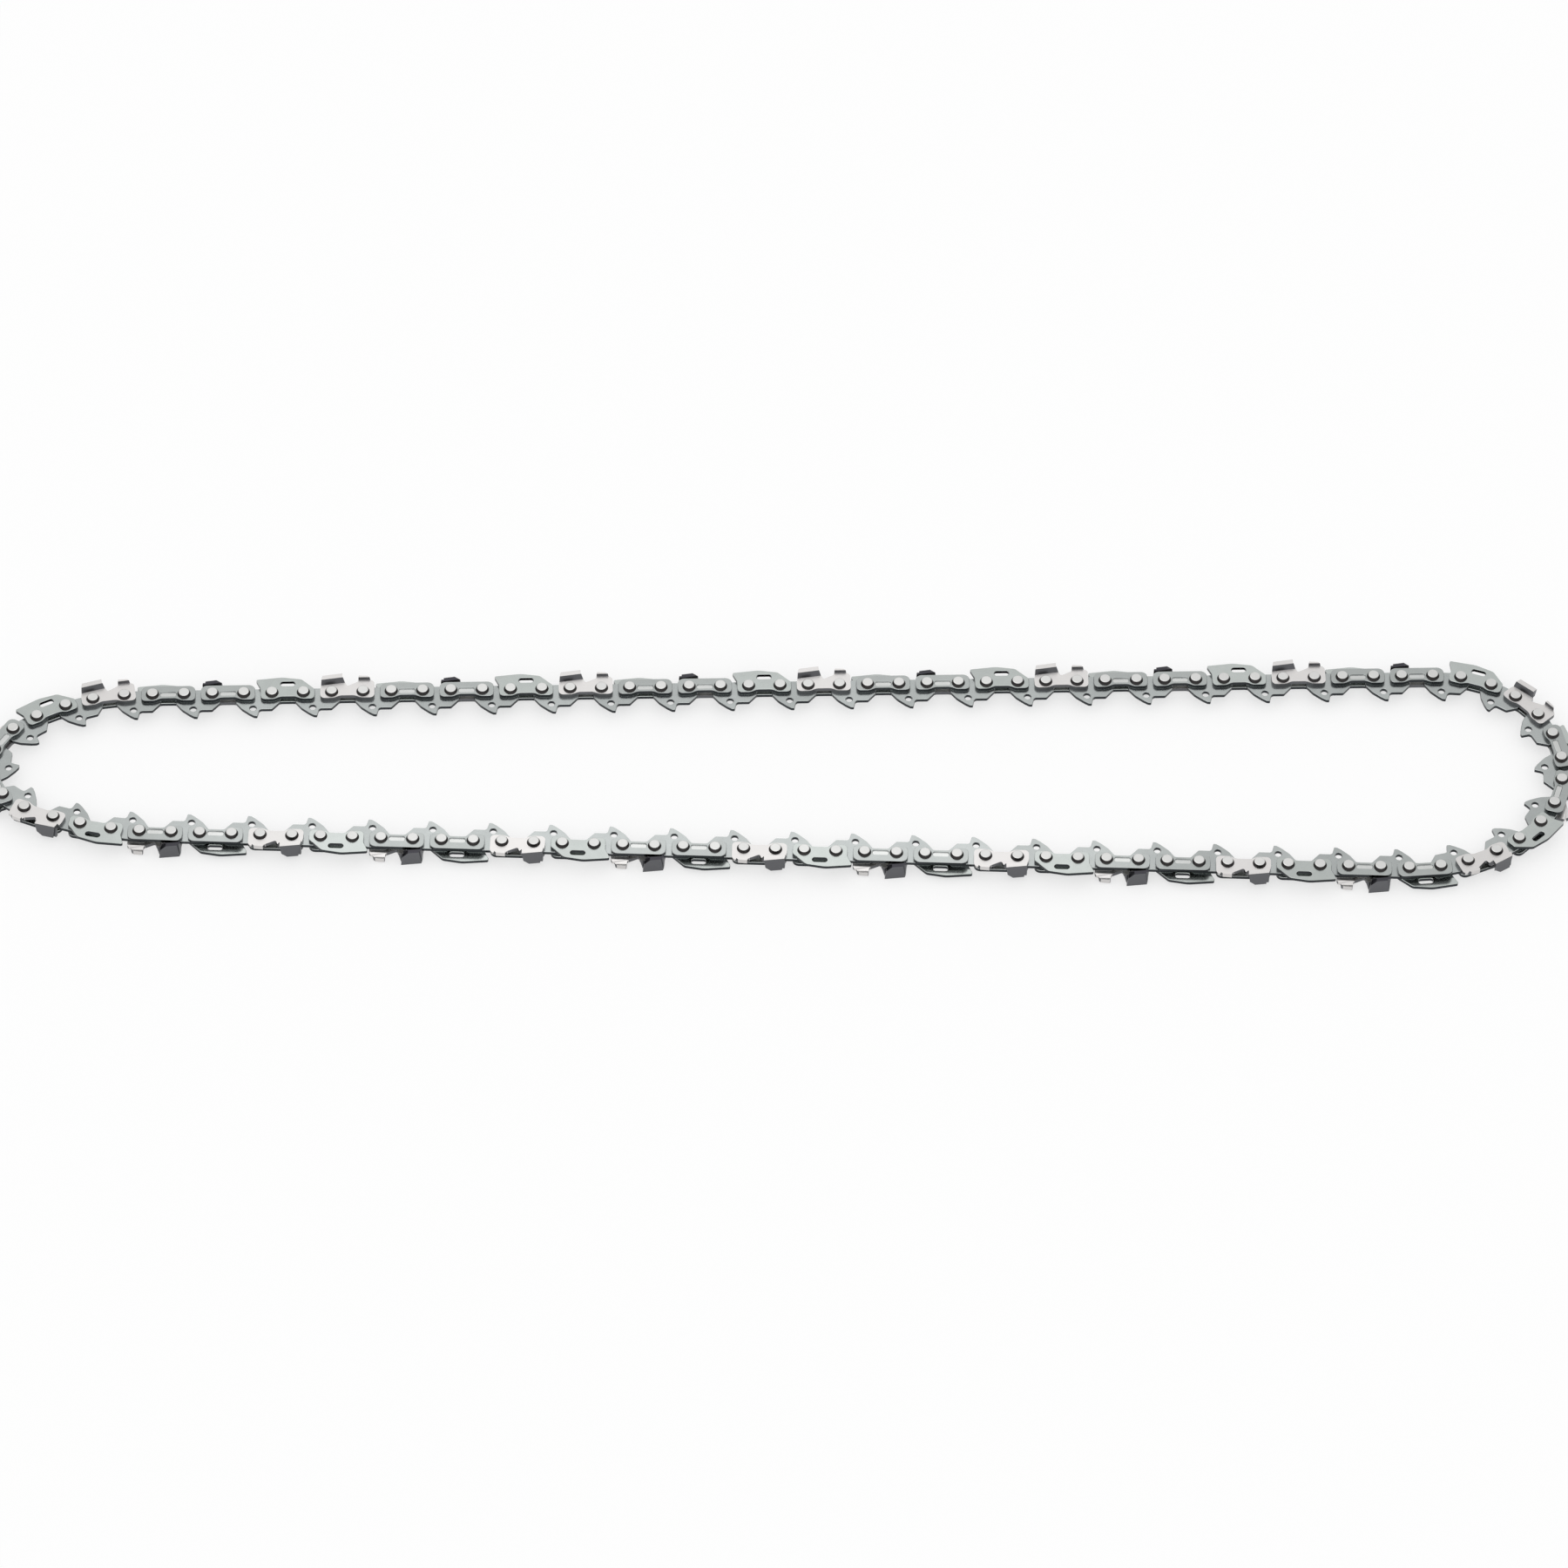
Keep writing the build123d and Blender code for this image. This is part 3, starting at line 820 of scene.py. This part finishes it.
def grown(piece, tree, values):
    """Runs a tree on a piece with these inputs, and leaves the piece a plain mesh."""
    modifier = piece.modifiers.new(tree.name, "NODES")
    modifier.node_group = tree
    for socket in tree.interface.items_tree:
        if socket.item_type == "SOCKET" and socket.in_out == "INPUT" and socket.name in values:
            modifier[socket.identifier] = values[socket.name]
    mesh = evaluated_mesh(piece)
    mesh.name = piece.name
    piece.modifiers.clear()
    piece.data = mesh
    return piece


def points_piece(name, places):
    """A piece that is still only its points, with the heading and side of each link on them."""
    mesh = bpy.data.meshes.new(name)
    mesh.from_pydata([tuple(place.rear) for place in places], [], [])
    heading = mesh.attributes.new("heading", "FLOAT", "POINT")
    heading.data.foreach_set("value", [place.heading() for place in places])
    upper = mesh.attributes.new("upper", "BOOLEAN", "POINT")
    upper.data.foreach_set("value", [place.upper for place in places])
    return in_scene(name, mesh)


def lay_links(kind, places, template, finish, has_lower=True):
    """Lays one kind of link on every body, in place of the body's own nodes of that kind."""
    tree = link_tree()
    upper = in_scene(f"{kind} upper", template)
    lower = in_scene(f"{kind} lower", mirrored(template) if has_lower else template)
    for body, nodes in BODIES.items():
        own = [place for place in places if place.body == body]
        piece = points_piece(f"{body}_{kind}_set".replace(" ", "_"), own)
        grown(piece, tree, {"Upper Link": upper, "Lower Link": lower, "Finish": finish})
        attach(piece, body)
        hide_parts(*[node for node in nodes if kind.replace(" ", "_") in node])
    bpy.data.objects.remove(upper)
    bpy.data.objects.remove(lower)


def upright_shade_group():
    """Tells the punched edges of a stamping, which stand upright and get a painted shade, from its
    flat faces.
    """
    name = "Punched Edge"
    if name in bpy.data.node_groups:
        return bpy.data.node_groups[name]
    group = bpy.data.node_groups.new(name, "ShaderNodeTree")
    add_socket(group, "Upright Below", "Float", default=0.25)
    add_socket(group, "Flat Above", "Float", default=0.65)
    add_socket(group, "Edge", "Float", output=True)
    inputs = add_node(group, "NodeGroupInput")
    where = add_node(group, "ShaderNodeTexCoord")
    axes = add_node(group, "ShaderNodeSeparateXYZ")
    upright = add_node(group, "ShaderNodeMath", operation="ABSOLUTE")
    mask = add_node(group, "ShaderNodeMapRange", interpolation_type="SMOOTHSTEP")
    mask.inputs["To Min"].default_value = 1
    mask.inputs["To Max"].default_value = 0
    out = add_node(group, "NodeGroupOutput")
    group.links.new(where.outputs["Normal"], axes.inputs["Vector"])
    group.links.new(axes.outputs["Z"], upright.inputs[0])
    group.links.new(upright.outputs["Value"], mask.inputs["Value"])
    group.links.new(inputs.outputs["Upright Below"], mask.inputs["From Min"])
    group.links.new(inputs.outputs["Flat Above"], mask.inputs["From Max"])
    group.links.new(mask.outputs["Result"], out.inputs["Edge"])
    return group


SCRATCH_SIZE = 0.25 * MM
SCRATCH_DEPTH = 0.02 * MM
SCRATCH_STRENGTH = 0.12
SCRATCH_GLOSS = 0.05


def tumbling_group():
    """The faint unevenness that tumbling leaves: patches of tone, and fine scratches."""
    name = "Tumbled Metal"
    if name in bpy.data.node_groups:
        return bpy.data.node_groups[name]
    group = bpy.data.node_groups.new(name, "ShaderNodeTree")
    add_socket(group, "Patch Size", "Float", default=2.5 * MM)
    add_socket(group, "Tone Spread", "Float", default=0.1)
    add_socket(group, "Tone", "Float", output=True)
    add_socket(group, "Scratches", "Float", output=True)
    inputs = add_node(group, "NodeGroupInput")
    out = add_node(group, "NodeGroupOutput")
    where = add_node(group, "ShaderNodeTexCoord")
    own = add_node(group, "ShaderNodeAttribute", attribute_name="tone")
    scale = add_node(group, "ShaderNodeMath", operation="DIVIDE")
    scale.inputs[0].default_value = 1
    patches = add_node(group, "ShaderNodeTexNoise")
    patches.inputs["Detail"].default_value = 3
    both = add_node(group, "ShaderNodeMath", operation="ADD")
    centred = add_node(group, "ShaderNodeMath", operation="SUBTRACT")
    centred.inputs[1].default_value = 1
    spread = add_node(group, "ShaderNodeMath", operation="MULTIPLY_ADD")
    spread.inputs[2].default_value = 1
    scratches = add_node(group, "ShaderNodeTexNoise")
    scratches.inputs["Scale"].default_value = 1 / SCRATCH_SIZE
    scratches.inputs["Detail"].default_value = 2
    group.links.new(inputs.outputs["Patch Size"], scale.inputs[1])
    group.links.new(where.outputs["Object"], patches.inputs["Vector"])
    group.links.new(scale.outputs["Value"], patches.inputs["Scale"])
    group.links.new(own.outputs["Fac"], both.inputs[0])
    group.links.new(patches.outputs["Fac"], both.inputs[1])
    group.links.new(both.outputs["Value"], centred.inputs[0])
    group.links.new(centred.outputs["Value"], spread.inputs[0])
    group.links.new(inputs.outputs["Tone Spread"], spread.inputs[1])
    group.links.new(spread.outputs["Value"], out.inputs["Tone"])
    group.links.new(where.outputs["Object"], scratches.inputs["Vector"])
    group.links.new(scratches.outputs["Fac"], out.inputs["Scratches"])
    return group


def steel(name, face, edge, roughness, tone_spread, marks=(), upright_below=0.25, flat_above=0.65):
    """A tumbled metal: bright on its faces, dark with a painted shade on its punched edges, other
    where it is marked.
    """
    material = bpy.data.materials.new(name)
    material.use_nodes = True
    tree = material.node_tree
    shader = tree.nodes["Principled BSDF"]
    shader.inputs["Metallic"].default_value = 1
    # The edge colour on faces that stand upright is a painted shade.
    edges = add_node(tree, "ShaderNodeGroup", node_tree=upright_shade_group())
    edges.inputs["Upright Below"].default_value = upright_below
    edges.inputs["Flat Above"].default_value = flat_above
    tumbled = add_node(tree, "ShaderNodeGroup", node_tree=tumbling_group())
    tumbled.inputs["Tone Spread"].default_value = tone_spread
    finish = add_node(tree, "ShaderNodeMix", data_type="RGBA")
    finish.inputs["A"].default_value = (*face, 1)
    finish.inputs["B"].default_value = (*edge, 1)
    tree.links.new(edges.outputs["Edge"], finish.inputs["Factor"])
    colour_out = finish.outputs["Result"]
    for attribute, tint in marks:
        chosen = add_node(tree, "ShaderNodeAttribute", attribute_name=attribute)
        other = add_node(tree, "ShaderNodeMix", data_type="RGBA")
        other.inputs["B"].default_value = (*tint, 1)
        tree.links.new(chosen.outputs["Fac"], other.inputs["Factor"])
        tree.links.new(colour_out, other.inputs["A"])
        colour_out = other.outputs["Result"]
    shade = add_node(tree, "ShaderNodeVectorMath", operation="SCALE")
    gloss = add_node(tree, "ShaderNodeMapRange")
    gloss.inputs["To Min"].default_value = roughness - SCRATCH_GLOSS
    gloss.inputs["To Max"].default_value = roughness + SCRATCH_GLOSS
    bump = add_node(tree, "ShaderNodeBump")
    bump.inputs["Strength"].default_value = SCRATCH_STRENGTH
    bump.inputs["Distance"].default_value = SCRATCH_DEPTH
    tree.links.new(colour_out, shade.inputs["Vector"])
    tree.links.new(tumbled.outputs["Tone"], shade.inputs["Scale"])
    tree.links.new(shade.outputs["Vector"], shader.inputs["Base Color"])
    tree.links.new(tumbled.outputs["Scratches"], gloss.inputs["Value"])
    tree.links.new(gloss.outputs["Result"], shader.inputs["Roughness"])
    tree.links.new(tumbled.outputs["Scratches"], bump.inputs["Height"])
    tree.links.new(bump.outputs["Normal"], shader.inputs["Normal"])
    return material


class CHAIN_OT_tie_straps(bpy.types.Operator):
    """Lay the tie straps, the plain outer links"""

    bl_idname = "chain.tie_straps"
    bl_label = "Tie Straps"

    def execute(self, context):
        colours = context.scene.chain_colours
        finish = steel(
            "strap steel",
            colours.tie_face,
            colours.edge_shade,
            roughness=0.22,
            tone_spread=0.12,
            # The groove's floor takes the lighter colour, a painted highlight.
            marks=[("marked", colours.groove_floor)],
        )
        lay_links("tie strap", TIES, tie_strap(context.scene.chain_sizes), finish)
        return {"FINISHED"}


class CHAIN_OT_bumper_straps(bpy.types.Operator):
    """Lay the bumper straps, the humped outer links with a slot"""

    bl_idname = "chain.bumper_straps"
    bl_label = "Bumper Straps"

    def execute(self, context):
        colours = context.scene.chain_colours
        finish = steel(
            "bumper steel",
            colours.bumper_face,
            colours.edge_shade,
            roughness=0.22,
            tone_spread=0.12,
        )
        strap = bumper_strap(context.scene.chain_sizes)
        lay_links("bumper strap", BUMPERS, strap, finish)
        return {"FINISHED"}


class CHAIN_OT_drive_links(bpy.types.Operator):
    """Lay the drive links with their tangs"""

    bl_idname = "chain.drive_links"
    bl_label = "Drive Links"

    def execute(self, context):
        colours = context.scene.chain_colours
        finish = steel(
            "drive link steel",
            colours.drive_face,
            colours.edge_shade,
            roughness=0.22,
            tone_spread=0.14,
        )
        link = drive_link(context.scene.chain_sizes)
        lay_links("drive link", DRIVES, link, finish, has_lower=False)
        return {"FINISHED"}


class CHAIN_OT_cutters(bpy.types.Operator):
    """Lay the right-hand and left-hand cutters"""

    bl_idname = "chain.cutters"
    bl_label = "Cutters"

    def execute(self, context):
        colours = context.scene.chain_colours
        # The cutters' upright faces take a painted shade.
        finish = steel(
            "cutter chrome",
            colours.cutter_face,
            colours.cutter_edge_shade,
            roughness=0.36,
            tone_spread=0.05,
            marks=[("marked", colours.cutter_inside), ("ground", colours.cutter_face)],
            upright_below=0.5,
            flat_above=0.75,
        )
        lay_links("cutter", CUTTERS, cutter(context.scene.chain_sizes), finish)
        return {"FINISHED"}


class CHAIN_OT_rivets(bpy.types.Operator):
    """Set the rivets, two in every outer link"""

    bl_idname = "chain.rivets"
    bl_label = "Rivets"

    def execute(self, context):
        sizes = context.scene.chain_sizes
        colours = context.scene.chain_colours
        # The sides of the rivet heads take a painted shade.
        finish = steel(
            "rivet steel",
            colours.rivet_top,
            colours.rivet_side_shade,
            roughness=0.45,
            tone_spread=0.06,
            upright_below=0.5,
            flat_above=0.85,
        )
        tree = rivet_tree()
        for body in BODIES:
            ends = [end for tie in TIES if tie.body == body for end in (tie.rear, tie.front)]
            piece = points_piece(f"{body}_rivets", [Place(body, end, end) for end in ends])
            values = {
                "Foot Radius": sizes.rivet_foot,
                "Top Radius": sizes.rivet_top,
                "Neck Radius": sizes.rivet_neck,
                "Drum Radius": sizes.rivet_drum,
                "Head Height": HEAD_TOP - STRAP_OUTER - sizes.edge,
                "Worn Edge": sizes.edge,
                "Head Level": STRAP_OUTER,
                "Neck Height": 2 * STRAP_OUTER,
                "Drum Height": 2 * STRAP_INNER,
                "Finish": finish,
            }
            grown(piece, tree, values)
            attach(piece, body)
        return {"FINISHED"}


def seen_ray(tree):
    """A value of 1 for rays from the camera, from gloss and through glass."""
    path = add_node(tree, "ShaderNodeLightPath")
    seen = add_node(tree, "ShaderNodeMath", operation="MAXIMUM")
    clear = add_node(tree, "ShaderNodeMath", operation="MAXIMUM")
    tree.links.new(path.outputs["Is Camera Ray"], seen.inputs[0])
    tree.links.new(path.outputs["Is Glossy Ray"], seen.inputs[1])
    tree.links.new(seen.outputs["Value"], clear.inputs[0])
    tree.links.new(path.outputs["Is Transmission Ray"], clear.inputs[1])
    return clear.outputs["Value"]


def floor_material(settings):
    """White paper that keeps a soft shadow, and is lifted towards white where it is seen."""
    material = bpy.data.materials.new("floor paper")
    material.use_nodes = True
    tree = material.node_tree
    paper = tree.nodes["Principled BSDF"]
    paper.inputs["Base Color"].default_value = (*settings.floor, 1)
    paper.inputs["Roughness"].default_value = 0.9
    paper.inputs["Specular IOR Level"].default_value = 0
    glow = add_node(tree, "ShaderNodeEmission")
    share = add_node(tree, "ShaderNodeMath", operation="MULTIPLY")
    share.inputs[1].default_value = settings.paper_glow
    lifted = add_node(tree, "ShaderNodeMixShader")
    tree.links.new(seen_ray(tree), share.inputs[0])
    tree.links.new(share.outputs["Value"], lifted.inputs["Fac"])
    tree.links.new(paper.outputs["BSDF"], lifted.inputs[1])
    tree.links.new(glow.outputs["Emission"], lifted.inputs[2])
    tree.links.new(lifted.outputs["Shader"], tree.nodes["Material Output"].inputs["Surface"])
    return material


def studio_world(strength):
    """Even light from all round, seen as white by the camera and in the metal."""
    world = bpy.data.worlds.new("studio")
    world.use_nodes = True
    tree = world.node_tree
    sky = tree.nodes["Background"]
    sky.inputs["Color"].default_value = (1, 1, 1, 1)
    level = add_node(tree, "ShaderNodeMapRange")
    level.inputs["To Min"].default_value = strength
    level.inputs["To Max"].default_value = 1
    tree.links.new(seen_ray(tree), level.inputs["Value"])
    tree.links.new(level.outputs["Result"], sky.inputs["Strength"])
    bpy.context.scene.world = world


def photo_camera(settings):
    """The camera at the photograph's viewing angle."""
    data = bpy.data.cameras.new("camera")
    data.lens = settings.lens
    data.sensor_width = SENSOR_WIDTH
    data.clip_end = 4 * settings.distance
    camera = in_scene("camera", data)
    elevation, yaw, roll = settings.elevation, settings.yaw, settings.roll
    right = Vector((math.cos(yaw), -math.sin(yaw), 0))
    level = math.cos(elevation)
    ahead = Vector((math.sin(yaw) * level, math.cos(yaw) * level, -math.sin(elevation)))
    up = right.cross(ahead)
    rolled_right = right * math.cos(roll) + up * math.sin(roll)
    rolled_up = up * math.cos(roll) - right * math.sin(roll)
    turn = Matrix((rolled_right, rolled_up, -ahead)).transposed().to_4x4()
    target = Vector((*settings.target, MIDDLE))
    camera.matrix_world = Matrix.Translation(target - ahead * settings.distance) @ turn
    bpy.context.scene.camera = camera


class CHAIN_OT_stage(bpy.types.Operator):
    """Set the floor, the light and the camera"""

    bl_idname = "chain.stage"
    bl_label = "Stage"

    def execute(self, context):
        settings = context.scene.chain_stage
        half = settings.floor_half
        corners = [(-half, -half, 0), (half, -half, 0), (half, half, 0), (-half, half, 0)]
        floor = bpy.data.meshes.new("floor")
        floor.from_pydata(corners, [], [(0, 1, 2, 3)])
        floor.materials.append(floor_material(settings))
        sheet = in_scene("floor", floor)
        sheet.location.z = CAD_BOX[0].z
        lamp = bpy.data.lights.new("soft box", "AREA")
        lamp.shape = "RECTANGLE"
        lamp.size, lamp.size_y = settings.soft_box_size
        lamp.energy = settings.soft_box_power
        soft_box = in_scene("soft box", lamp)
        soft_box.location = settings.soft_box_place
        soft_box.visible_camera = False
        soft_box.visible_diffuse = False
        studio_world(settings.sky)
        photo_camera(settings)
        context.scene.view_settings.view_transform = "Standard"
        return {"FINISHED"}


OPERATORS = (
    CHAIN_OT_tie_straps,
    CHAIN_OT_bumper_straps,
    CHAIN_OT_drive_links,
    CHAIN_OT_cutters,
    CHAIN_OT_rivets,
    CHAIN_OT_stage,
)


class CHAIN_PT_panel(bpy.types.Panel):
    """Lists the pieces of the chain and their sizes"""

    bl_idname = "CHAIN_PT_panel"
    bl_label = "Saw Chain Loop"
    bl_space_type = "VIEW_3D"
    bl_region_type = "UI"
    bl_category = "Saw Chain"

    def draw(self, context):
        for operator in OPERATORS:
            self.layout.operator(operator.bl_idname)
        scene = context.scene
        for settings in (scene.chain_sizes, scene.chain_colours, scene.chain_stage):
            for name in settings.bl_rna.properties.keys():
                if name not in ("rna_type", "name"):
                    self.layout.prop(settings, name)


CLASSES = (ChainSizes, ChainColours, StageSettings, *OPERATORS, CHAIN_PT_panel)


def register():
    for item in CLASSES:
        bpy.utils.register_class(item)
    bpy.types.Scene.chain_sizes = bpy.props.PointerProperty(type=ChainSizes)
    bpy.types.Scene.chain_colours = bpy.props.PointerProperty(type=ChainColours)
    bpy.types.Scene.chain_stage = bpy.props.PointerProperty(type=StageSettings)


def unregister():
    del bpy.types.Scene.chain_stage
    del bpy.types.Scene.chain_colours
    del bpy.types.Scene.chain_sizes
    for item in reversed(CLASSES):
        bpy.utils.unregister_class(item)


def main():
    register()
    bpy.ops.chain.tie_straps()
    bpy.ops.chain.bumper_straps()
    bpy.ops.chain.drive_links()
    bpy.ops.chain.cutters()
    bpy.ops.chain.rivets()
    bpy.ops.chain.stage()


if __name__ == "__main__":
    main()
